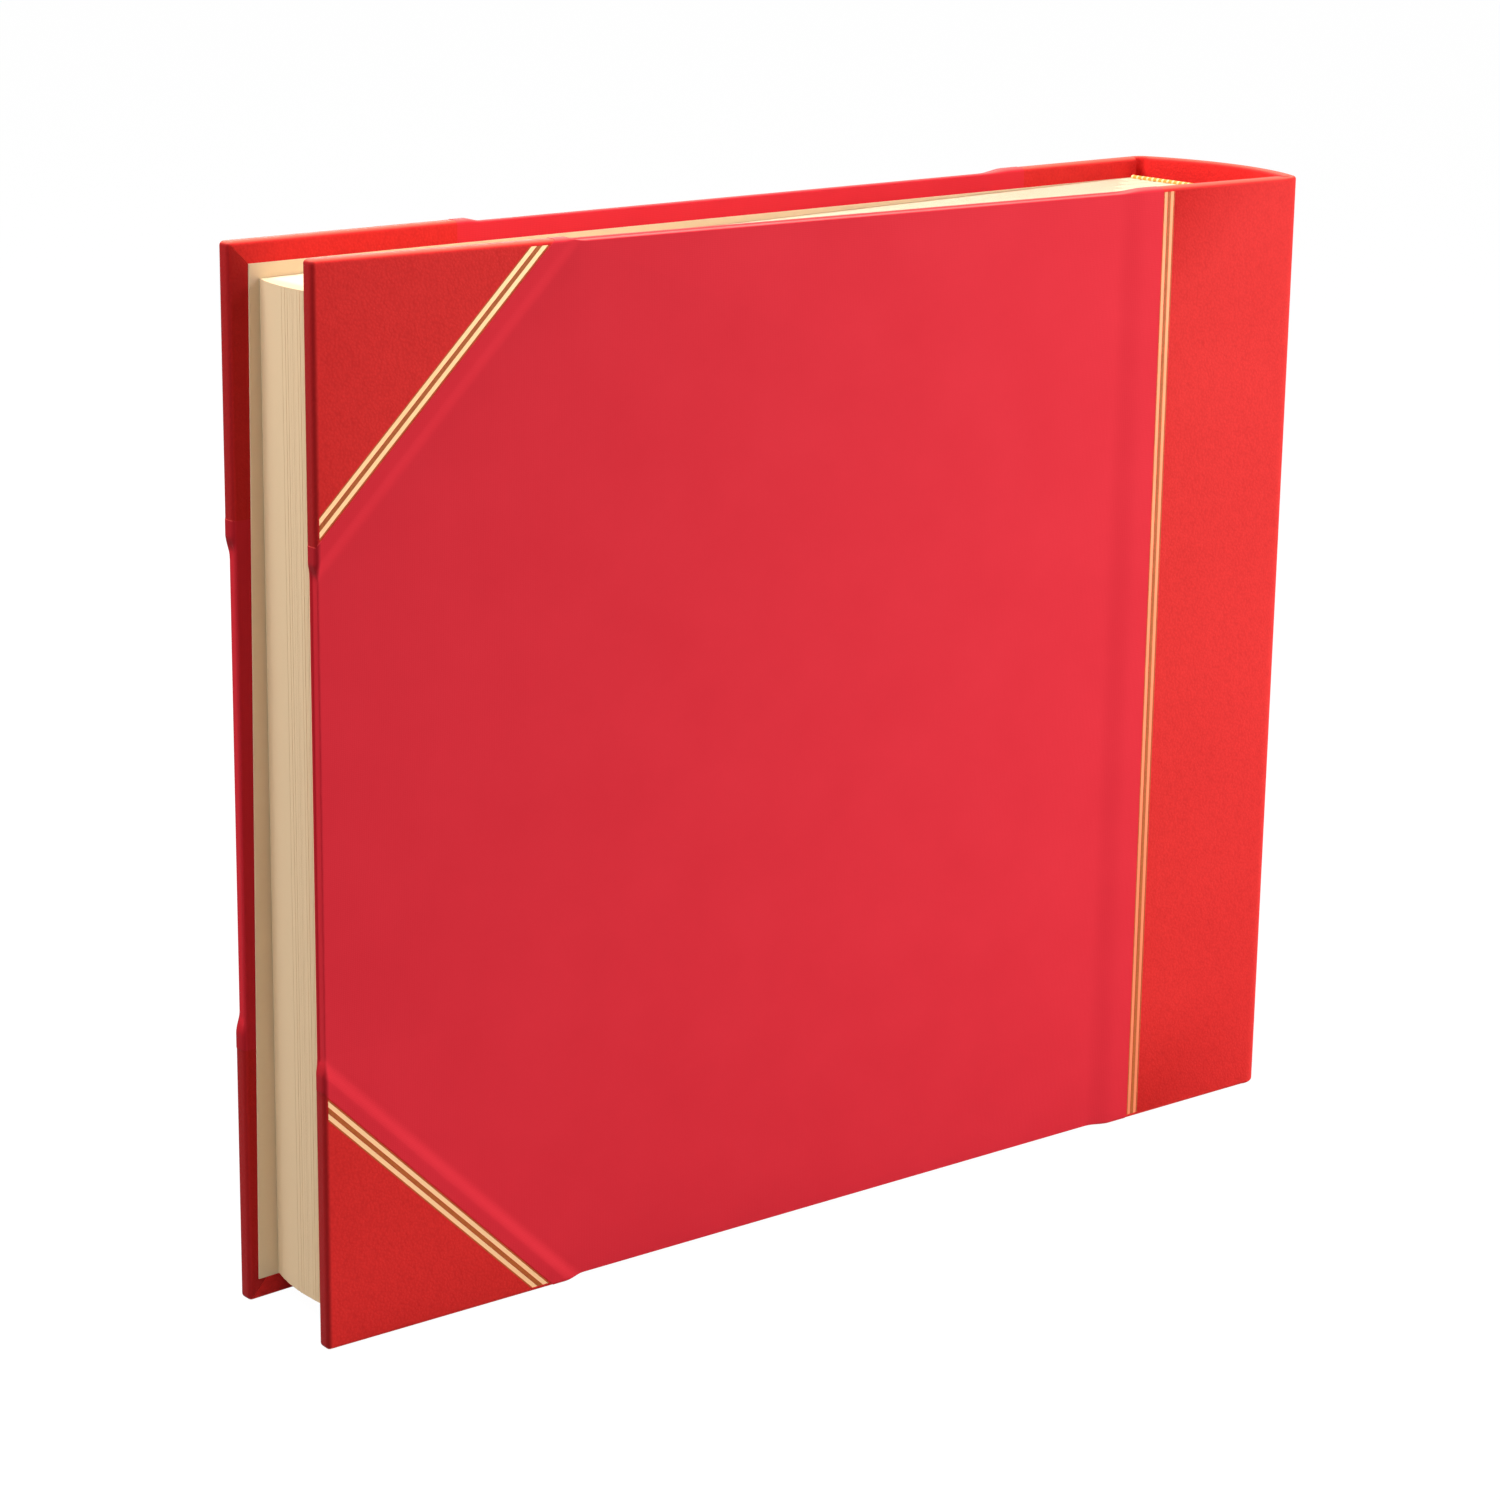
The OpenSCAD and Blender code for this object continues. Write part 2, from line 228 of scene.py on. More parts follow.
# Where a spot of a flat sheet lies once it is wrapped round the cover's edges.
# p runs from the fore-edge towards the spine and q up; beyond the edges the sheet turns in.
def wrapPoint(side, p, q, sunk):
    full = case["coverThick"]
    a, depth, z = max(p, 0), 0, q
    if p < 0:
        a, depth = max(-p - full, 0), min(-p, full)
    if q < 0 or q > coverHigh:
        over = -q if q < 0 else q - coverHigh
        depth = min(over, full)
        z = max(over - full, 0) if q < 0 else coverHigh - max(over - full, 0)
    thick = thicknessAt(a)
    depth *= thick / full
    radius = min(case["leather"], thick / 2)
    core = Vector((max(a, radius), min(max(depth, radius), thick - radius),
                   min(max(z, radius), coverHigh - radius)))
    out = (Vector((a, depth, z)) - core).normalized()
    sunk *= 1 - max(out.y, 0)       # the inside stays level with the turned-in leather
    spot = core + out * (radius - sunk)
    face, inward = facePoint(spot.x)
    here = face + inward * spot.y
    return onSide(side, here.x, here.y, spot.z)


# A flat rectangle, drawn with p along X and q along Z
def flatSheet(name, low, high):
    deselectAll()
    middle = ((low[0] + high[0]) / 2, 0, (low[1] + high[1]) / 2)
    bpy.ops.mesh.primitive_plane_add(size=1, location=middle, rotation=(math.radians(90), 0, 0))
    piece = rename(bpy.context.object, name)
    piece.scale = (high[0] - low[0], high[1] - low[1], 1)
    bpy.ops.object.transform_apply(location=True, rotation=True, scale=True)
    return piece


# Cuts along lines p * np + q * nq = at, and drops what lies beyond a line that trims
def cutLines(piece, normal, places, trim=False):
    pick(piece)
    bpy.ops.object.mode_set(mode="EDIT")
    length = math.hypot(*normal)
    for at in places:
        bpy.ops.mesh.select_all(action="SELECT")
        bpy.ops.mesh.bisect(
            plane_co=(normal[0] / length ** 2 * at, 0, normal[1] / length ** 2 * at),
            plane_no=(normal[0], 0, normal[1]),
            clear_outer=trim, clear_inner=False, threshold=mergeWithin)
    bpy.ops.object.mode_set(mode="OBJECT")


# Lines where a sheet turns over the edge at 0, towards -1 or +1
def turnLines(edge, towards):
    steps = [share * case["leather"] for share in case["turnLines"]]
    return [edge + towards * (turn + step) for turn in (0, case["coverThick"]) for step in steps]


# Carries a flat sheet that was drawn at the tail to the head
def mirrorUp(piece):
    for vert in piece.data.vertices:
        vert.co.z = coverHigh - vert.co.z
    turnFaces(piece)


# A back sheet was mirrored, so its faces are turned before the thickness goes inwards
def thickenSheet(piece, side, thickness):
    if side == "back":
        turnFaces(piece)
    applyModifier(piece, "SOLIDIFY", thickness=thickness, offset=-1)
    finishEdges(piece)


def wrapSheet(piece, side, sunk, thickness):
    for vert in piece.data.vertices:
        vert.co = wrapPoint(side, vert.co.x, vert.co.z, sunk(vert.co.x, vert.co.z))
    finishEdges(piece)
    thickenSheet(piece, side, thickness)


# Leather, cloth and gold
rules = {
    "wide": 0.00105,
    "spine": (0.04785, 0.05005),    # from the spine corner
    "corner": (0.06144, 0.06455),   # legs of the two rules over a corner
    "deep": 0.00014,                # how far a rule is pressed in
    "flank": 0.00005,               # half the width of a pressed rule's flank
    "cornerFlank": 0.00007,         # the same along the leg of a corner's rule
    "fromEdge": 0.001,              # the pressing ends this far from the cover's edges
    "foil": 0.00009,                # thickness of the foil that is drawn
    "bends": 40,                    # parts of a rule from tail to head
    "land": 0.00102,                # burnished leather between the two rules
    "border": 0.00026,              # and along their outer edges
    "borderAway": 0.00184,          # from the middle of the pair
    "burnish": 0.00002,             # how far the burnished leather stands proud
}
cuts = {
    "clothCorner": 0.06618,         # leg of the cloth's cut corner
    "clothSpine": 0.0512,           # cut edge of the cloth, from the spine corner
    "leatherCorner": 0.070,         # leg of the leather under the cloth
    "leatherSpine": 0.057,
    "clothDrop": 0.00085,           # the cloth lies this much lower where no leather is under it
    "clothProud": 0.00010,          # and stands this proud of the leather at its cut edge
    "cornerRamp": 0.0040,
    "spineRamp": 0.0090,
    "rampLines": (-0.15, 0, 0.15, 0.32, 0.5, 0.68, 0.85, 1, 1.15),   # in shares of a ramp
    "mitreGap": 0.00006,            # half the gap of a mitred turn-in
    "cornerParts": 5,               # parts of a corner's leg
    "spineParts": 8,                # parts of the spine leather from tail to head
    "jointLines": (-0.0066, 0.00055, 19),   # first line from the spine corner, step and count
    "roundLines": (0.0045, 0.0022, 20),     # the same over the spine's round
    "roundEnd": 0.0002,             # no line nearer to the middle of the spine than this
    "skin": 0.0006,                 # thickness drawn for leather
    "weave": 0.00035,               # thickness drawn for cloth
}
flap = case["coverThick"] + case["turnIn"]


def inRule(value, rulePlaces, half):
    return any(abs(value - place) < half for place in rulePlaces)


# Half of the spine leather, from its cut edge on the board to the middle of the spine
def leatherHalf(side):
    lapFrom = coverWide - cuts["clothSpine"]
    piece = flatSheet(side + "LeatherHalf", (lapFrom, -flap), (caseMiddle, coverHigh + flap))
    lines = []
    for place in rules["spine"]:
        for edge in (-1, 1):
            middle = coverWide - place + edge * rules["wide"] / 2
            lines += [middle - rules["flank"], middle + rules["flank"]]
    for first, step, count in (cuts["jointLines"], cuts["roundLines"]):
        lines += [coverWide + first + step * index for index in range(count)]
    cutLines(piece, (1, 0), [line for line in lines if line < caseMiddle - cuts["roundEnd"]])
    cutLines(piece, (0, 1), turnLines(0, -1) + turnLines(coverHigh, 1))
    cutLines(piece, (0, 1), evenLines(coverHigh, cuts["spineParts"]))

    def sunk(p, q):
        onFace = rules["fromEdge"] < q < coverHigh - rules["fromEdge"]
        pressed = inRule(coverWide - p, rules["spine"], rules["wide"] / 2)
        return rules["deep"] if onFace and pressed else 0

    wrapSheet(piece, side, sunk, cuts["skin"])
    return piece


# Leather corner: the face and two turned-in flaps that meet in a mitre
def leatherCorner(side, top):
    leg = cuts["clothCorner"]
    name = side + ("Head" if top else "Tail") + "Corner"
    face = flatSheet(name, (0, 0), (leg, leg))
    cutLines(face, (1, 1), [leg], trim=True)
    ruleLines = []
    half = rules["wide"] / math.sqrt(2)
    for place in rules["corner"]:
        for edge in (-half, half):
            ruleLines += [place + edge - rules["cornerFlank"], place + edge + rules["cornerFlank"]]
    cutLines(face, (1, 1), ruleLines)
    flaps = [flatSheet(name + "Fore", (-flap, 0), (0, leg)),
             flatSheet(name + "Foot", (0, -flap), (leg, 0))]
    for sheet in flaps:
        cutLines(sheet, (-1, -1), [case["coverThick"] - cuts["mitreGap"]], trim=True)
    piece = joinPieces([face] + flaps, name)
    for normal in ((1, 0), (0, 1)):
        cutLines(piece, normal, turnLines(0, -1) + evenLines(leg, cuts["cornerParts"]))
    finishEdges(piece)
    if top:
        mirrorUp(piece)

    def sunk(p, q):
        q = coverHigh - q if top else q
        onFace = p > rules["fromEdge"] and q > rules["fromEdge"]
        return rules["deep"] if onFace and inRule(p + q, rules["corner"], half) else 0

    wrapSheet(piece, side, sunk, cuts["skin"])
    return piece


# Book cloth, with its corners cut off and turned in on three sides
def clothSide(side):
    leg, reach = cuts["clothCorner"], coverWide - cuts["clothSpine"]
    face = flatSheet(side + "Cloth", (0, 0), (reach, coverHigh))
    cutLines(face, (-1, -1), [-leg], trim=True)
    cutLines(face, (-1, 1), [coverHigh - leg], trim=True)
    foreFlap = flatSheet("foreFlap", (-flap, leg), (0, coverHigh - leg))
    footFlap = flatSheet("footFlap", (leg, -flap), (reach, 0))
    headFlap = flatSheet("headFlap", (leg, coverHigh), (reach, coverHigh + flap))
    piece = joinPieces([face, foreFlap, footFlap, headFlap], side + "Cloth")
    corner, spine = cuts["leatherCorner"], coverWide - cuts["leatherSpine"]
    shares = cuts["rampLines"]
    diagonal = [corner + share * cuts["cornerRamp"] * math.sqrt(2) for share in shares]
    straight = [corner + share * cuts["cornerRamp"] for share in shares]
    cutLines(piece, (1, 1), diagonal)
    cutLines(piece, (-1, 1), [coverHigh - value for value in diagonal])
    cutLines(piece, (0, 1), straight + [coverHigh - value for value in straight])
    cutLines(piece, (1, 0), straight + [spine - share * cuts["spineRamp"] for share in shares])
    cutLines(piece, (1, 0), turnLines(0, -1))
    cutLines(piece, (0, 1), turnLines(0, -1) + turnLines(coverHigh, 1))

    def sunk(p, q):
        if p < 0:
            past = min(q, coverHigh - q) - corner
        elif q < 0 or q > coverHigh:
            past = p - corner
        else:
            past = (p + min(q, coverHigh - q) - corner) / math.sqrt(2)
        drop = min(smoothStep(0, cuts["cornerRamp"], past),
                   smoothStep(0, cuts["spineRamp"], spine - p))
        return cuts["clothDrop"] * drop - cuts["clothProud"] * (1 - drop)

    wrapSheet(piece, side, sunk, cuts["weave"])
    return piece


# Strips from tail to head beside the spine, and over both corners
def ruleStrips(side, name, spinePlaces, cornerPlaces, wide, sunk, thickness):
    strips = []
    margin = case["leather"]
    for place in spinePlaces:
        p = coverWide - place
        strips.append(flatSheet("strip", (p - wide / 2, margin), (p + wide / 2, coverHigh - margin)))
    half = wide / math.sqrt(2)
    for place in cornerPlaces:
        for top in (False, True):
            strip = flatSheet("strip", (margin, margin), (place + half, place + half))
            cutLines(strip, (1, 1), [place + half], trim=True)
            cutLines(strip, (-1, -1), [half - place], trim=True)
            if top:
                mirrorUp(strip)
            strips.append(strip)
    piece = joinPieces(strips, side + name)
    cutLines(piece, (0, 1), evenLines(coverHigh, rules["bends"]))
    wrapSheet(piece, side, lambda p, q: sunk, thickness)
    return piece


def goldRules(side):
    return ruleStrips(side, "GoldRules", rules["spine"], rules["corner"], rules["wide"],
                      rules["deep"] - rules["foil"], rules["foil"])


# Leather browned by the hot tool, beside and between the rules
def burnishedLeather(side):
    spineMiddle = sum(rules["spine"]) / 2
    cornerMiddle = sum(rules["corner"]) / 2
    away = rules["borderAway"]
    awayOnLeg = away * math.sqrt(2)
    proud, thickness = -rules["burnish"], rules["burnish"] * 2
    land = ruleStrips(side, "RuleLand", (spineMiddle,), (cornerMiddle,), rules["land"],
                      proud, thickness)
    borders = ruleStrips(side, "RuleBorders", (spineMiddle - away, spineMiddle + away),
                         (cornerMiddle - awayOnLeg, cornerMiddle + awayOnLeg), rules["border"],
                         proud, thickness)
    return joinPieces([land, borders], side + "BurnishedLeather")


# The line that a section turns about
def foldPlace(number):
    return Vector(hinges[f"section_{number:02d}_turn"]["pos_m"])


# Leaves and guards
sectionCount = sum(name.startswith("section_") for name in hinges)
firstFold, middleFold = foldPlace(1), foldPlace(sectionCount // 2)
firstRow, middleRow = (1 - sectionCount) / 2, -0.5
pitchSlope = (firstFold.y / firstRow - middleFold.y / middleRow) / (firstFold.x - middleFold.x)
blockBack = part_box("guards_01")[1][0]
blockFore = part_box("leaves_05")[0][0]
leafLow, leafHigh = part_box("leaves_05")[0][2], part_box("leaves_05")[1][2]
block = {
    "sheets": (1, 0.6, 0.2),    # a section's folded sheets, in shares of the way to its outer leaf
    "outerLeaf": 5 / 12,        # from a section's middle to its outer leaf, in shares of its room
    "droop": (-0.0017, 0.0020), # how far the leaves sag at the fore-edge and stand up at the spine
    "bow": 0.0020,              # the outer leaves stand this much further back than the middle ones
    "uneven": 0.00006,          # small differences between leaves at the fore-edge
    "leaf": 0.0004,
    "drawn": 0.00050,           # thickness a leaf is drawn with, so that the closed block is solid
    "turnParts": 8,             # parts of the turn round the back
    "flatLines": (0.12, 0.03),  # where a leaf is cut across, ahead of its fold line
    "bendLines": (0.0055, 0.0005, 19),  # first line of the bend ahead of it, step and count
    "foreClear": 0.002,         # no line nearer to the fore-edge than this
    "bendAhead": 0.0050,        # a section bends from here before its fold line ...
    "bendBehind": 0.0026,       # ... to here behind it
    "guards": (-0.8, -0.4, 0, 0.4, 0.8),    # the guard strips, in the same shares as the sheets
    "guardRoom": 0.4,           # room of one strip in those shares
    "guardFill": 0.85,          # how much of it a strip fills
    "guardBehind": 0.0040,      # a guard starts this far behind the fold line
    "guardClear": 0.0001,       # and ends this far inside the turn of the next sheet
    "guardStep": 0.2,           # the next sheet is this much further out
}


# Room of one section across the block
def pitchAt(x):
    return firstFold.y / firstRow + pitchSlope * (x - firstFold.x)


def droopAt(x):
    low, high = block["droop"]
    return low + (high - low) * (x - blockFore) / (blockBack - blockFore)


# Middle of a section
def slotAt(number, x):
    return (number - (sectionCount + 1) / 2) * pitchAt(x)


# Distance of a leaf from its section's middle, at x; place runs from -1 to 1
def leafOffset(x, place):
    return place * pitchAt(x) * block["outerLeaf"]


# A flat ribbon of paper standing on edge along a path of (x, y) points
def paperRibbon(name, path, thickness):
    rings = []
    for index, spot in enumerate(path):
        before, after = path[max(index - 1, 0)], path[min(index + 1, len(path) - 1)]
        run = (after - before).normalized()
        across = Vector((-run.y, run.x)) * thickness / 2
        low, high = leafLow + droopAt(spot.x), leafHigh + droopAt(spot.x)
        rings.append([Vector((spot.x + s * across.x, spot.y + s * across.y, z))
                      for s, z in ((1, low), (1, high), (-1, high), (-1, low))])
    return tubeThrough(name, rings)


# Where a leaf is cut across, from the fore-edge back
def leafStations(number):
    fold = foldPlace(number).x
    first, step, count = block["bendLines"]
    return ([fold - ahead for ahead in block["flatLines"]]
            + [fold - first + step * index for index in range(count)])


# Fore-edge of a leaf that lies at y
def foreAt(y, jitter):
    halfFore = -pitchAt(blockFore) * firstRow + pitchAt(blockFore) / 2
    return blockFore + block["bow"] * (y / halfFore) ** 2 + jitter


# Folded sheets, one inside the other, each turning round the back in a half circle
def sectionLeaves(number):
    chance = random.Random(number)
    sheets = []
    for place in block["sheets"]:
        legs = []
        radius = leafOffset(blockBack, place)
        for hand in (1, -1):
            foreY = slotAt(number, blockFore) + leafOffset(blockFore, hand * place)
            fore = foreAt(foreY, chance.uniform(-1, 1) * block["uneven"])
            stations = [fore] + [x for x in leafStations(number) if x > fore + block["foreClear"]]
            stations.append(blockBack - radius)
            legs.append([Vector((x, slotAt(number, x) + leafOffset(x, hand * place)))
                         for x in stations])
        centre = Vector((blockBack - radius, slotAt(number, blockBack)))
        parts = block["turnParts"]
        turn = [centre + Vector((math.sin(angle), math.cos(angle))) * radius
                for angle in (math.pi * step / parts for step in range(1, parts))]
        sheets.append(paperRibbon("sheet", legs[0] + turn + legs[1][::-1], block["drawn"]))
    return joinPieces(sheets, f"leaves{number:02d}")


def sectionGuards(number):
    strips = []
    fold = foldPlace(number).x
    start = fold + block["guardBehind"]
    room = leafOffset(fold, block["guardRoom"]) - block["leaf"]
    for place in block["guards"]:
        end = blockBack - leafOffset(blockBack, abs(place) + block["guardStep"]) - block["guardClear"]
        if end > start:
            path = [Vector((x, slotAt(number, x) + leafOffset(x, place))) for x in (start, end)]
            strips.append(paperRibbon("strip", path, room * block["guardFill"]))
    return joinPieces(strips, f"guards{number:02d}")


endpaper = {
    "thick": 0.0003,
    "clear": 0.00002,           # between it and what it lies on
    "flyEnd": 0.0022,           # the flyleaf ends this far before the block's back
    "pasteEnd": 0.0004,         # the paste-down ends this far before the board's edge
    "askew": 0.0030,            # it reaches this much nearer the fore-edge at the tail than at the head
    "askewWithin": 0.001,       # only the points this near its fore-edge move
    "pasteLine": 0.02,          # a line across it, from its fore-edge
    "pasteParts": 6,            # parts from tail to head
    "jointStart": 0.0008,       # the joint starts this far before the board's edge
    "jointLeaves": (0.0042, -0.0001),   # the way it takes from there
    "jointArrives": 0.0050,     # it comes round to the block from this far behind its back
    "jointEnd": 0.0030,         # and ends this far before the block's back
    "jointParts": 14,
}


def flyleaf(side):
    number = 1 if side == "front" else sectionCount
    hand = -1 if side == "front" else 1
    lift = (block["drawn"] + endpaper["thick"]) / 2 + endpaper["clear"]
    foreY = slotAt(number, blockFore) + leafOffset(blockFore, hand) + hand * lift
    stations = [foreAt(foreY, 0)] + leafStations(number) + [blockBack - endpaper["flyEnd"]]
    path = [Vector((x, slotAt(number, x) + leafOffset(x, hand) + hand * lift)) for x in stations]
    return paperRibbon(side + "Flyleaf", path, endpaper["thick"])


def pasteDownSheet(side):
    low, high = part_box(side + "_paste_down")
    near = (low[0] - foreEdge) / math.cos(slant)
    far = coverWide - case["joint"] - endpaper["pasteEnd"]
    piece = flatSheet(side + "PasteDown", (near, low[2]), (far, high[2]))
    cutLines(piece, (1, 0), [near + endpaper["pasteLine"], coverWide / 2])
    cutLines(piece, (0, 1), evenLines(coverHigh, endpaper["pasteParts"]))
    for vert in piece.data.vertices:
        p, q = vert.co.x, vert.co.z
        if p < near + endpaper["askewWithin"]:
            p -= endpaper["askew"] * (1 - q / coverHigh)
        face, inward = facePoint(p)
        here = face + inward * (case["coverThick"] + endpaper["clear"])
        vert.co = onSide(side, here.x, here.y, q)
    thickenSheet(piece, side, endpaper["thick"])
    return piece


# The endpaper's fold, from the paste-down across the inner joint to the sewn block
def endpaperJoint(side):
    sign = 1 if side == "front" else -1
    start, inward = facePoint(coverWide - case["joint"] - endpaper["jointStart"])
    first = start + inward * (case["coverThick"] + endpaper["thick"] / 2)
    second = first + Vector(endpaper["jointLeaves"])
    lift = (block["drawn"] + endpaper["thick"]) / 2
    last = Vector((blockBack - endpaper["jointEnd"],
                   slotAt(1, blockBack) + leafOffset(blockBack, -1) - lift))
    third = Vector((blockBack + endpaper["jointArrives"], last.y))
    path = []
    for step in range(endpaper["jointParts"] + 1):
        t = step / endpaper["jointParts"]
        leaving = first * (1 - t) ** 3 + second * (3 * t * (1 - t) ** 2)
        arriving = third * (3 * t * t * (1 - t)) + last * t ** 3
        spot = leaving + arriving
        path.append(Vector((spot.x, sign * spot.y)))
    return paperRibbon(side + "EndpaperJoint", path, endpaper["thick"])


band = {
    "bead": 0.00072,            # radius of the wrapped bead
    "forward": 0.35,            # the bead's middle before the block's back, in radii
    "over": 0.3,                # and beyond the leaves' edges
    "thread": 0.00050,          # width of one turn of thread
    "hollow": 0.12,             # how far the silk dips between turns, in radii
    "around": 12,
    "perTurn": 4,
    "ribbon": 0.011,            # height of the ribbon down the back
    "ribbonThick": 0.0004,
    "ribbonBehind": 0.00028,    # its middle behind the block's back
    "ribbonRound": 0.00015,
    "pale": (238, 208, 150),    # every second turn
    "paleAbove": 0.35,          # its share is smaller the nearer this is to 1
}


# Silk wound over a core, with a ribbon pasted down the sewn back
def silkBand(top):
    name = "headBand" if top else "tailBand"
    low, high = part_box("head_band" if top else "tail_band")
    level = (leafHigh if top else leafLow) + droopAt(blockBack)
    up = 1 if top else -1
    wide = high[1] - low[1]
    centre = Vector((blockBack - band["bead"] * band["forward"], 0,
                     level + up * band["bead"] * band["over"]))
    steps = round(wide / band["thread"]) * band["perTurn"]
    rings = []
    for step in range(steps + 1):
        y = low[1] + wide * step / steps
        swell = abs(math.sin(math.pi * step / band["perTurn"]))
        radius = band["bead"] * (1 - band["hollow"] + band["hollow"] * swell)
        angles = (math.tau * index / band["around"] for index in range(band["around"]))
        rings.append([centre + Vector((radius * math.cos(angle), y, radius * math.sin(angle)))
                      for angle in angles])
    bead = tubeThrough(name, rings)
    deselectAll()
    ribbonMiddle = level - up * band["ribbon"] / 2
    bpy.ops.mesh.primitive_cube_add(
        size=1, location=(blockBack + band["ribbonBehind"], 0, ribbonMiddle))
    ribbon = bpy.context.object
    ribbon.scale = (band["ribbonThick"], wide, band["ribbon"])
    bpy.ops.object.transform_apply(location=True, rotation=True, scale=True)
    applyModifier(ribbon, "BEVEL", width=band["ribbonRound"], segments=2)
    return joinPieces([bead, ribbon], name)


# A colour written in parts of 255, as the shaders take it
def shaderColour(colour):
    return [((part + 0.055) / 1.055) ** 2.4 if part > 0.04045 else part / 12.92
            for part in (value / 255 for value in colour)] + [1]


# A group that takes a place on the piece and one size, and gives a height and a tone
def newGroup(name, sizeLabel, size):
    group = bpy.data.node_groups.new(name, "ShaderNodeTree")
    group.interface.new_socket(name="Place", in_out="INPUT", socket_type="NodeSocketVector")
    socket = group.interface.new_socket(name=sizeLabel, in_out="INPUT", socket_type="NodeSocketFloat")
    socket.default_value = size
    for label in ("Height", "Tone"):
        group.interface.new_socket(name=label, in_out="OUTPUT", socket_type="NodeSocketFloat")
    given = group.nodes.new("NodeGroupInput")
    return group, given.outputs["Place"], given.outputs[sizeLabel]


def endGroup(group, height, tone):
    addNode(group, "NodeGroupOutput", Height=height, Tone=tone)
    return group


# Inputs are given by name, or as i0, i1 ... by number; an output given as a value is linked
def addNode(tree, kind, settings=None, **values):
    node = tree.nodes.new(kind)
    for key, value in (settings or {}).items():
        setattr(node, key, value)
    for label, value in values.items():
        numbered = label[0] == "i" and label[1:].isdigit()
        socket = node.inputs[int(label[1:]) if numbered else label]
        if isinstance(value, bpy.types.NodeSocket):
            tree.links.new(value, socket)
        else:
            socket.default_value = value
    return node


def mathNode(tree, operation, first, second=0.0, third=0.0):
    settings = {"operation": operation}
    return addNode(tree, "ShaderNodeMath", settings, i0=first, i1=second, i2=third).outputs[0]


def noiseNode(tree, place, scale, detail):
    return addNode(tree, "ShaderNodeTexNoise", Vector=place, Scale=scale, Detail=detail)


# From 0 at the first place to 1, or to most, at the second
def rampNode(tree, value, first, second, most=1.0):
    settings = {"interpolation_type": "SMOOTHSTEP"}
    return addNode(tree, "ShaderNodeMapRange", settings, i0=value, i1=first, i2=second,
                   i4=most).outputs[0]


# Two colours or colour outputs, mixed by a share
def mixNode(tree, share, first, second):
    mix = addNode(tree, "ShaderNodeMix", {"data_type": "RGBA"}, i0=share, i6=first, i7=second)
    return mix.outputs[2]


# Fine pebbled grain: low round pebbles between narrow creases
grain = {
    "pebbles": 900.0,
    "waver": (420.0, 2.0),  # scale and detail of the waver in the rows of pebbles
    "waverBy": 0.0009,      # its size in metres
    "soft": 0.6,            # smoothness of a pebble
    "finer": 2.3,           # small pebbles to one large
    "finerHigh": -0.35,     # their share of the height
    "tone": 0.2,            # the least of the tone
    "fleck": (330.0, 2.0, 0.45),    # scale, detail and share of the tone
    "cloud": (26.0, 3.0, 0.4),
    "crease": -0.45,        # the creases' share of the tone
}


def makeGrain():
    group, place, pebbles = newGroup("leatherGrain", "Pebbles", grain["pebbles"])
    waver = noiseNode(group, place, *grain["waver"])
    shift = addNode(group, "ShaderNodeVectorMath", {"operation": "SCALE"},
                    i0=waver.outputs["Color"], Scale=grain["waverBy"])
    moved = addNode(group, "ShaderNodeVectorMath", {"operation": "ADD"}, i0=place, i1=shift.outputs[0])
    pebble = addNode(group, "ShaderNodeTexVoronoi", {"feature": "SMOOTH_F1"}, Vector=moved.outputs[0],
                     Scale=pebbles, Smoothness=grain["soft"])
    finer = addNode(group, "ShaderNodeTexVoronoi", {"feature": "F1"}, Vector=moved.outputs[0],
                    Scale=mathNode(group, "MULTIPLY", pebbles, grain["finer"]))
    height = mathNode(group, "MULTIPLY_ADD", finer.outputs["Distance"], grain["finerHigh"],
                      mathNode(group, "SUBTRACT", 1.0, pebble.outputs["Distance"]))
    tone = grain["tone"]
    for kind in ("fleck", "cloud"):
        scale, detail, share = grain[kind]
        spots = noiseNode(group, place, scale, detail)
        tone = mathNode(group, "MULTIPLY_ADD", spots.outputs["Fac"], share, tone)
    tone = mathNode(group, "MULTIPLY_ADD", pebble.outputs["Distance"], grain["crease"], tone)
    return endGroup(group, height, tone)


# Plain weave: threads that pass over and under, with uneven thickness
weave = {
    "threads": 2200.0,
    "uneven": (160.0, 3.0), # scale and detail of the waver in the threads
    "unevenBy": 2.4,        # its size, in radians of the weave
    "slub": (45.0, 4.0),    # scale and detail of the thick and thin places
    "slubTone": 0.6,        # their share of the tone
    "crossingTone": 0.3,    # the crossings' share
    "tone": 0.1,            # the least of the tone
}


def makeWeave():
    group, place, threads = newGroup("plainWeave", "Threads", weave["threads"])
    parts = addNode(group, "ShaderNodeSeparateXYZ", i0=place)
    uneven = noiseNode(group, place, *weave["uneven"])
    wobble = mathNode(group, "MULTIPLY", uneven.outputs["Fac"], weave["unevenBy"])
    turns = mathNode(group, "MULTIPLY", threads, math.pi)

    def threadWave(along):
        angle = mathNode(group, "ADD", wobble, mathNode(group, "MULTIPLY", along, turns))
        return mathNode(group, "SINE", angle)

    warp = threadWave(mathNode(group, "ADD", parts.outputs["X"], parts.outputs["Y"]))
    weft = threadWave(parts.outputs["Z"])
    crossing = mathNode(group, "ABSOLUTE", mathNode(group, "MULTIPLY", warp, weft))
    slub = noiseNode(group, place, *weave["slub"])
    tone = mathNode(group, "MULTIPLY_ADD", slub.outputs["Fac"], weave["slubTone"], weave["tone"])
    tone = mathNode(group, "MULTIPLY_ADD", crossing, weave["crossingTone"], tone)
    return endGroup(group, crossing, tone)


# Paper: short fibres and a soft cloudiness
fibre = {
    "size": 700.0,
    "detail": 5.0,
    "rough": 0.65,
    "cloud": (18.0, 3.0),   # scale and detail
    "fibreTone": 0.35,
    "cloudTone": 0.65,
}


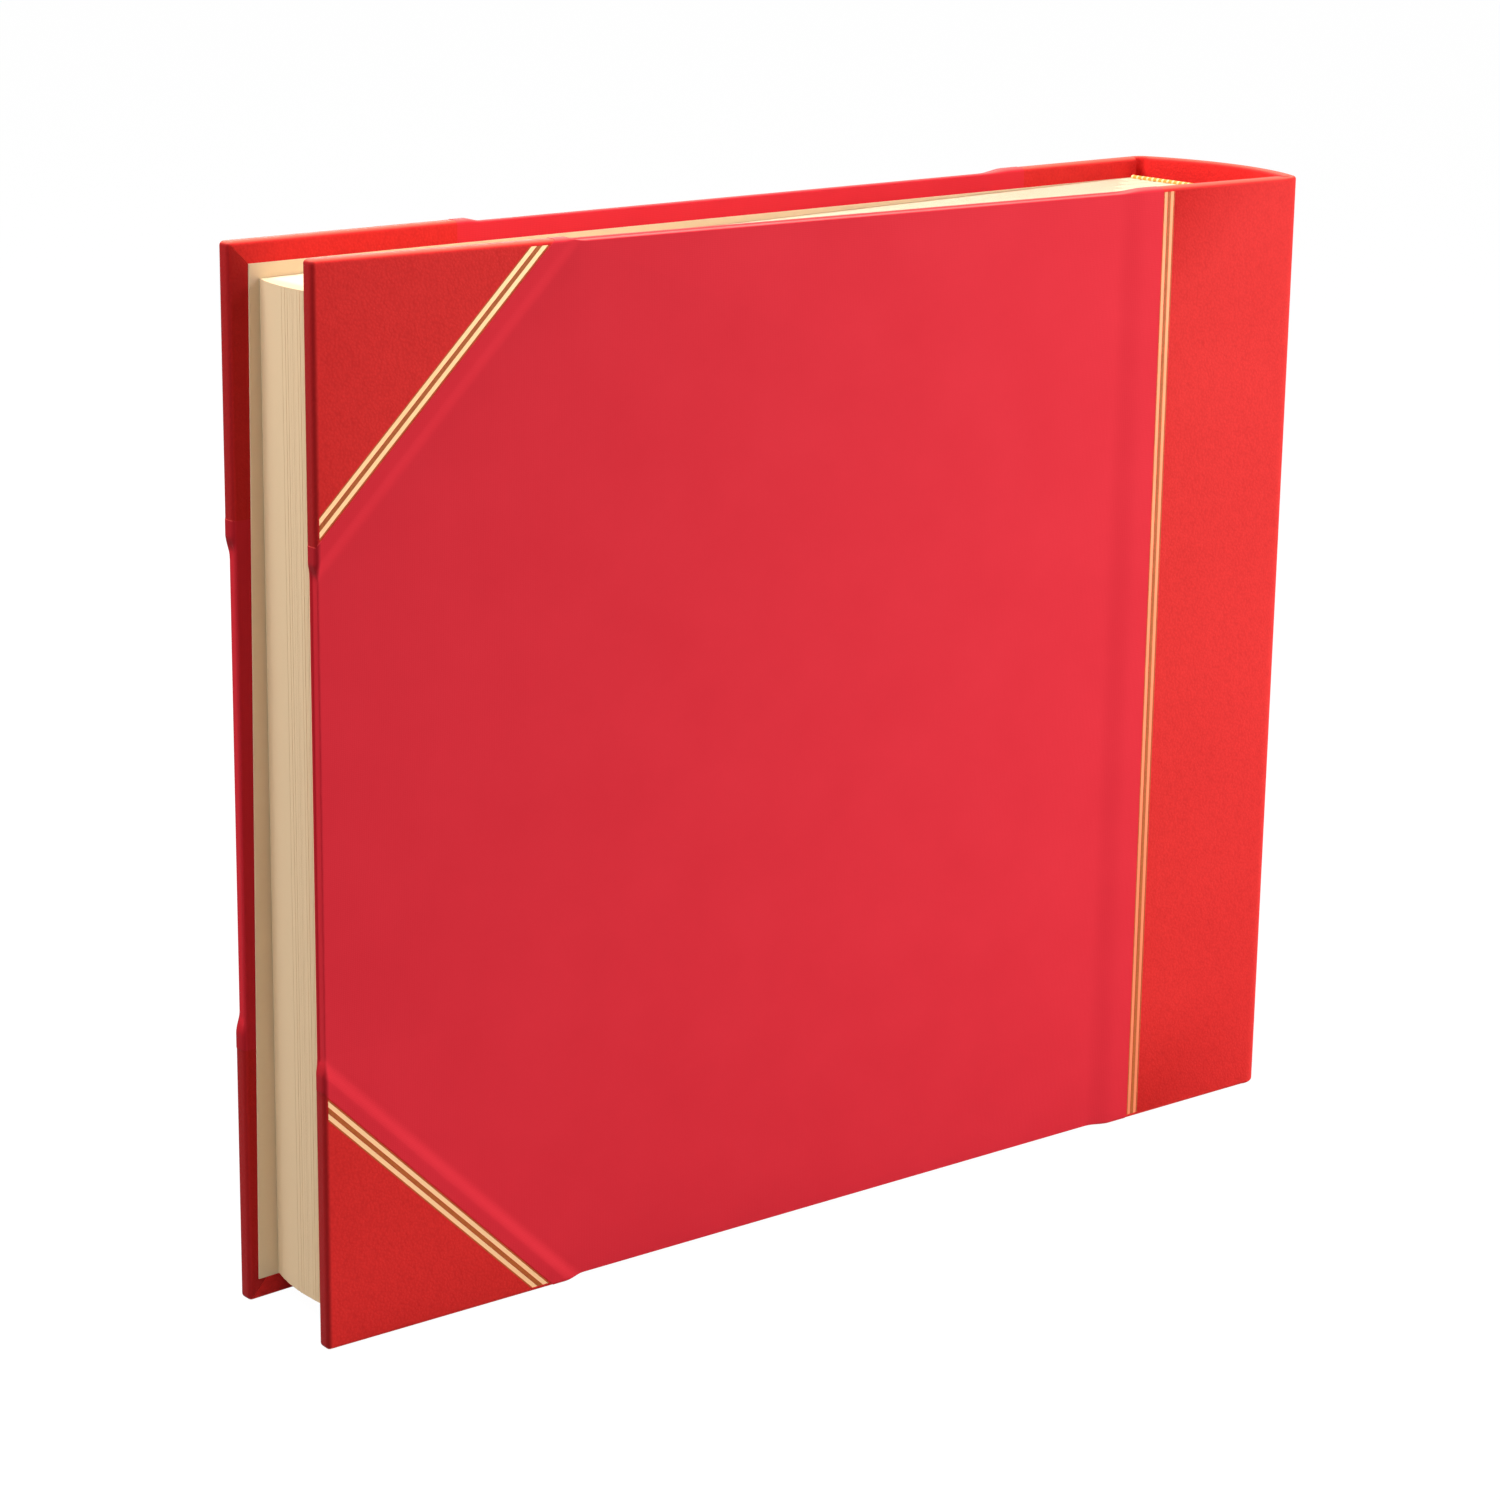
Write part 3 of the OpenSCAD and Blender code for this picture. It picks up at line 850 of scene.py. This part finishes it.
def makeFibre():
    group, place, size = newGroup("paperFibre", "Size", fibre["size"])
    strands = addNode(group, "ShaderNodeTexNoise", Vector=place, Scale=size,
                      Detail=fibre["detail"], Roughness=fibre["rough"])
    cloud = noiseNode(group, place, *fibre["cloud"])
    tone = mathNode(group, "MULTIPLY_ADD", strands.outputs["Fac"], fibre["fibreTone"],
                    mathNode(group, "MULTIPLY", cloud.outputs["Fac"], fibre["cloudTone"]))
    return endGroup(group, strands.outputs["Fac"], tone)


surfaceGroups = {
    "grain": (makeGrain(), "Pebbles"),
    "weave": (makeWeave(), "Threads"),
    "fibre": (makeFibre(), "Size"),
}
# Where shade and a highlight are painted into the covers' colour
paintedLight = {
    "strip": (0.0065, 0.0025),  # the turned-in strip that gets painted shade, from where the edge's colour starts
    "inside": (0.0186, 0.0172), # nearer to the album's middle plane is inside the covers
    "mitre": 0.0003,            # half the width of the change at a mitre
    "upright": (0.35, 0.95),    # how far a face looks up or down where a highlight is painted
    "highlightMost": 0.55,            # the most of the painted highlight
}


# How much painted shade the turned-in strip at the fore-edge has, up to its mitred ends
def paintedStripShade(tree, place, edge, stripShade):
    parts = addNode(tree, "ShaderNodeSeparateXYZ", i0=place)
    far, near = paintedLight["strip"]
    strip = rampNode(tree, parts.outputs["X"], edge["from"] + far, edge["from"] + near)
    inside = rampNode(tree, mathNode(tree, "ABSOLUTE", parts.outputs["Y"]), *paintedLight["inside"])
    fromMiddle = mathNode(tree, "SUBTRACT", parts.outputs["Z"], coverHigh / 2)
    fromEnd = mathNode(tree, "SUBTRACT", coverHigh / 2, mathNode(tree, "ABSOLUTE", fromMiddle))
    mitred = rampNode(tree, mathNode(tree, "SUBTRACT", fromEnd, parts.outputs["X"]),
                      -foreEdge - paintedLight["mitre"], -foreEdge + paintedLight["mitre"])
    for mask in (mitred, inside):
        strip = mathNode(tree, "MULTIPLY", strip, mask)
    return mathNode(tree, "MULTIPLY", strip, stripShade)


# A finish: two close colours mixed by the surface's tone, and a bump from its height.
# edge gives a third colour that takes over between two places along X; on the covers and leaves
# it is painted shade at the fore-edge. Part of that painted shade can also go on the strip turned in
# at the fore-edge, and a painted highlight can lighten the faces that look up or down at head and tail.
def surfaceMaterial(name, group, size, colours, rough, bump, depth, edge=None, stripShade=0.0,
                    topHighlight=None, specular=0.5, metal=0.0):
    material = bpy.data.materials.new(name)
    material.use_nodes = True
    tree = material.node_tree
    shader = tree.nodes["Principled BSDF"]
    place = addNode(tree, "ShaderNodeTexCoord").outputs["Object"]
    groupTree, sizeLabel = surfaceGroups[group]
    surface = tree.nodes.new("ShaderNodeGroup")
    surface.node_tree = groupTree
    tree.links.new(place, surface.inputs["Place"])
    surface.inputs[sizeLabel].default_value = size
    colour = mixNode(tree, surface.outputs["Tone"], shaderColour(colours[0]), shaderColour(colours[1]))
    if edge:
        parts = addNode(tree, "ShaderNodeSeparateXYZ", i0=place)
        near = rampNode(tree, parts.outputs["X"], edge["from"], edge["to"])
        if stripShade:
            strip = paintedStripShade(tree, place, edge, stripShade)
            near = mathNode(tree, "MAXIMUM", near, strip)
        colour = mixNode(tree, near, colour, shaderColour(edge["colour"]))
    if topHighlight:
        facing = addNode(tree, "ShaderNodeTexCoord").outputs["Normal"]
        lift = addNode(tree, "ShaderNodeSeparateXYZ", i0=facing).outputs["Z"]
        low, high = paintedLight["upright"]
        highlit = rampNode(tree, mathNode(tree, "ABSOLUTE", lift), low, high, paintedLight["highlightMost"])
        colour = mixNode(tree, highlit, colour, shaderColour(topHighlight))
    tree.links.new(colour, shader.inputs["Base Color"])
    roughness = addNode(tree, "ShaderNodeMapRange", i0=surface.outputs["Tone"], i3=rough[1], i4=rough[0])
    tree.links.new(roughness.outputs[0], shader.inputs["Roughness"])
    relief = addNode(tree, "ShaderNodeBump", Strength=bump, Distance=depth,
                     Height=surface.outputs["Height"])
    tree.links.new(relief.outputs["Normal"], shader.inputs["Normal"])
    shader.inputs["Specular IOR Level"].default_value = specular
    shader.inputs["Metallic"].default_value = metal
    return material


def edgeColour(colour, start, end):
    return {"colour": colour, "from": start, "to": end}


# Sizes are pebbles, threads or fibres to the metre; rough runs from the light colour to the dark
# Band along the covers' fore-edge where painted shade darkens the colour
foreEdgeShade = (foreEdge + 0.0016, foreEdge + 0.0003)
finishes = {
    # The edge colour is painted shade at the fore-edge and on the turned-in strip; the last colour is a
    # painted highlight at head and tail
    "leather": surfaceMaterial(
        "redLeather", "grain", 1500.0, ((216, 36, 34), (243, 49, 45)), rough=(0.55, 0.68),
        bump=0.55, depth=0.0001, specular=0.12, edge=edgeColour((157, 20, 22), *foreEdgeShade),
        stripShade=0.7, topHighlight=(255, 126, 104)),
    # The same painted shade and painted highlight on the cloth
    "cloth": surfaceMaterial(
        "roseBookCloth", "weave", 2100.0, ((224, 40, 54), (239, 48, 63)), rough=(0.65, 0.78),
        bump=0.3, depth=0.00005, specular=0.12, edge=edgeColour((168, 22, 33), *foreEdgeShade),
        stripShade=0.7, topHighlight=(255, 120, 112)),
    "burnished": surfaceMaterial(
        "burnishedLeather", "grain", 1500.0, ((176, 84, 34), (206, 112, 48)), rough=(0.45, 0.6),
        bump=0.4, depth=0.00005, specular=0.2),
    "gold": surfaceMaterial(
        "goldFoil", "fibre", 900.0, ((250, 190, 126), (255, 215, 168)), rough=(0.42, 0.55),
        bump=0.3, depth=0.00003, metal=0.35, specular=0.3,
        edge=edgeColour((236, 131, 88), spineCorner.x - 0.060, spineCorner.x - 0.052)),
    "silk": surfaceMaterial(
        "goldSilk", "fibre", 2500.0, ((212, 136, 36), (236, 168, 62)), rough=(0.45, 0.6),
        bump=0.3, depth=0.00004, specular=0.3),
    "board": surfaceMaterial(
        "greyBoard", "fibre", 500.0, ((132, 124, 112), (166, 158, 144)), rough=(0.85, 0.95),
        bump=0.4, depth=0.0001),
    # The darker, yellower edge colour at the fore-edge of the leaves is painted shade tinted by light
    # bounced from the covers
    "paper": surfaceMaterial(
        "creamLeaf", "fibre", 600.0, ((230, 210, 176), (242, 226, 196)), rough=(0.8, 0.9),
        bump=0.15, depth=0.00003, specular=0.3,
        edge=edgeColour((227, 199, 160), blockFore + 0.006, blockFore + 0.0025)),
    "endpaper": surfaceMaterial(
        "creamEndpaper", "fibre", 450.0, ((240, 218, 180), (250, 232, 198)), rough=(0.78, 0.88),
        bump=0.2, depth=0.00004, specular=0.3),
    "guard": surfaceMaterial(
        "guardPaper", "fibre", 500.0, ((198, 176, 138), (216, 196, 160)), rough=(0.82, 0.92),
        bump=0.25, depth=0.00004),
    "kraft": surfaceMaterial(
        "kraftPaper", "fibre", 380.0, ((148, 110, 70), (182, 142, 98)), rough=(0.8, 0.92),
        bump=0.35, depth=0.00006),
    "mull": surfaceMaterial(
        "mullGauze", "weave", 900.0, ((204, 196, 176), (240, 236, 222)), rough=(0.85, 0.95),
        bump=0.8, depth=0.0002),
    "tape": surfaceMaterial(
        "cottonTape", "weave", 1500.0, ((216, 208, 186), (242, 236, 220)), rough=(0.8, 0.92),
        bump=0.6, depth=0.00012),
    "thread": surfaceMaterial(
        "linenThread", "weave", 3000.0, ((206, 190, 154), (236, 224, 192)), rough=(0.55, 0.7),
        bump=0.5, depth=0.00008),
}


# Silk band: gold and cream turns side by side
def stripeSilk(tree):
    shader = tree.nodes["Principled BSDF"]
    place = addNode(tree, "ShaderNodeTexCoord").outputs["Object"]
    along = addNode(tree, "ShaderNodeSeparateXYZ", i0=place).outputs["Y"]
    turn = mathNode(tree, "SINE", mathNode(tree, "MULTIPLY", along, math.pi / (2 * band["thread"])))
    pale = mathNode(tree, "GREATER_THAN", turn, band["paleAbove"])
    gold = shader.inputs["Base Color"].links[0].from_socket
    tree.links.new(mixNode(tree, pale, gold, shaderColour(band["pale"])), shader.inputs["Base Color"])


stripeSilk(finishes["silk"].node_tree)
print("album: finishes made")


def dress(piece, finish):
    piece.data.materials.clear()
    piece.data.materials.append(finishes[finish])
    return piece


# Putting the album together
for side in ("front", "back"):
    cover = side + "_cover"

    half = dress(leatherHalf(side), "leather")
    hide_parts("spine_leather", side + "_spine_side_leather")
    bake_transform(half)
    for top in (False, True):
        corner = dress(leatherCorner(side, top), "leather")
        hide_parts(side + ("_head_corner" if top else "_tail_corner"))
        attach(corner, cover)
    cloth = dress(clothSide(side), "cloth")
    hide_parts(side + "_cloth")
    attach(cloth, cover)
    gold = dress(goldRules(side), "gold")
    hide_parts(side + "_gold_rules")
    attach(gold, cover)
    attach(dress(burnishedLeather(side), "burnished"), cover)

    number = 1 if side == "front" else sectionCount
    fly = dress(flyleaf(side), "endpaper")
    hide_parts(side + "_flyleaf")
    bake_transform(fly)
    paste = dress(pasteDownSheet(side), "endpaper")
    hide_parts(side + "_paste_down")
    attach(paste, cover)
    joint = dress(endpaperJoint(side), "endpaper")
    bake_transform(joint)
    print("album:", side, "cover dressed")

for number in range(1, sectionCount + 1):
    leaves = dress(sectionLeaves(number), "paper")
    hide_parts(f"leaves_{number:02d}")
    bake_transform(leaves)
    guards = dress(sectionGuards(number), "guard")
    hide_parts(f"guards_{number:02d}")
    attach(guards, "spine")
print("album: sections sewn")

for top in (True, False):
    silk = dress(silkBand(top), "silk")
    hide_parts("head_band" if top else "tail_band")
    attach(silk, "spine")

# Pieces that keep their solids
innerFinishes = {
    "front_board": "board", "front_board_lining": "board",
    "back_board": "board", "back_board_lining": "board",
    "spine_stiffener": "board", "kraft_hollow": "kraft",
    "mull": "mull", "tapes": "tape", "sewing_thread": "thread",
}
for node, finish in innerFinishes.items():
    dress(frame["nodes"][node], finish)
print("album: inner pieces finished")

# Floor, light and camera
studio = {
    "floor": 0.33,              # how much of the lamps' light the floor gives back
    "floorWide": 30,
    "floorUnder": 0.0002,       # how far it lies under the album
    "white": (1, 1, 1, 1),
    "glow": 1.15,               # strength of the white that the camera sees
    "glowShare": 0.86,          # its share; the rest keeps the album's shadow
    "ambient": 0.10,
    "aim": 0.13,                # height that the lamps look at
    "lamps": {                  # power, place and size
        "key": (8.7, (0.62, -0.62, 0.05), 0.6),
        "high": (3.7, (0.62, -0.62, 0.78), 0.5),
        "top": (26.5, (-0.54, 0.11, 1.28), 0.6),
        "back": (6.6, (0.35, 0.95, 0.40), 0.6),
    },
}


# 1 for what the camera sees, also in gloss and glass
def whiteForCamera(tree):
    rays = addNode(tree, "ShaderNodeLightPath").outputs
    mirrored = mathNode(tree, "MAXIMUM", rays["Is Glossy Ray"], rays["Is Transmission Ray"])
    return mathNode(tree, "MAXIMUM", rays["Is Camera Ray"], mirrored)


def emptyTree(owner):
    owner.use_nodes = True
    owner.node_tree.nodes.clear()
    return owner.node_tree


def makeFloor():
    deselectAll()
    bpy.ops.mesh.primitive_plane_add(size=studio["floorWide"], location=(0, 0, -studio["floorUnder"]))
    floor = rename(bpy.context.object, "floor")
    material = bpy.data.materials.new("paleFloor")
    tree = emptyTree(material)
    plain = addNode(tree, "ShaderNodeBsdfDiffuse", Color=(studio["floor"],) * 3 + (1,))
    glow = addNode(tree, "ShaderNodeEmission", Color=studio["white"], Strength=studio["glow"])
    share = mathNode(tree, "MULTIPLY", whiteForCamera(tree), studio["glowShare"])
    mix = addNode(tree, "ShaderNodeMixShader", i0=share, i1=plain.outputs[0], i2=glow.outputs[0])
    addNode(tree, "ShaderNodeOutputMaterial", Surface=mix.outputs[0])
    floor.data.materials.append(material)


def makeWorld():
    world = bpy.data.worlds.new("studio")
    bpy.context.scene.world = world
    tree = emptyTree(world)
    strength = addNode(tree, "ShaderNodeMapRange", i0=whiteForCamera(tree), i3=studio["ambient"], i4=1.0)
    glow = addNode(tree, "ShaderNodeBackground", Color=studio["white"], Strength=strength.outputs[0])
    addNode(tree, "ShaderNodeOutputWorld", Surface=glow.outputs[0])


def addLamp(name, power, place, size):
    deselectAll()
    bpy.ops.object.light_add(type="AREA", location=place)
    lamp = bpy.context.object
    lamp.name = name
    lamp.data.energy = power
    lamp.data.size = size
    aim = Vector((0, 0, studio["aim"])) - Vector(place)
    lamp.rotation_euler = aim.to_track_quat("-Z", "Y").to_euler()


view = {
    "place": (-0.59333, -0.70330, 0.37887),
    "heading": 39.416,          # degrees from +Y towards +X
    "down": 13.845,
    "roll": 0.797,
    "lens": 86.38,
    "sensor": 36,
    "shift": -0.08,
}


def makeCamera():
    deselectAll()
    bpy.ops.object.camera_add(location=view["place"])
    camera = bpy.context.object
    camera.name = "camera"
    turns = ((-view["heading"], "Z"), (90 - view["down"], "X"), (view["roll"], "Z"))
    heading, tilt, roll = (Matrix.Rotation(math.radians(angle), 3, axis) for angle, axis in turns)
    camera.rotation_euler = (heading @ tilt @ roll).to_euler()
    camera.data.lens = view["lens"]
    camera.data.sensor_width = view["sensor"]
    camera.data.shift_y = view["shift"]
    bpy.context.scene.camera = camera


makeFloor()
makeWorld()
for name, settings in studio["lamps"].items():
    addLamp(name, *settings)
makeCamera()
bpy.context.scene.view_settings.view_transform = "Standard"
print("album: studio ready")
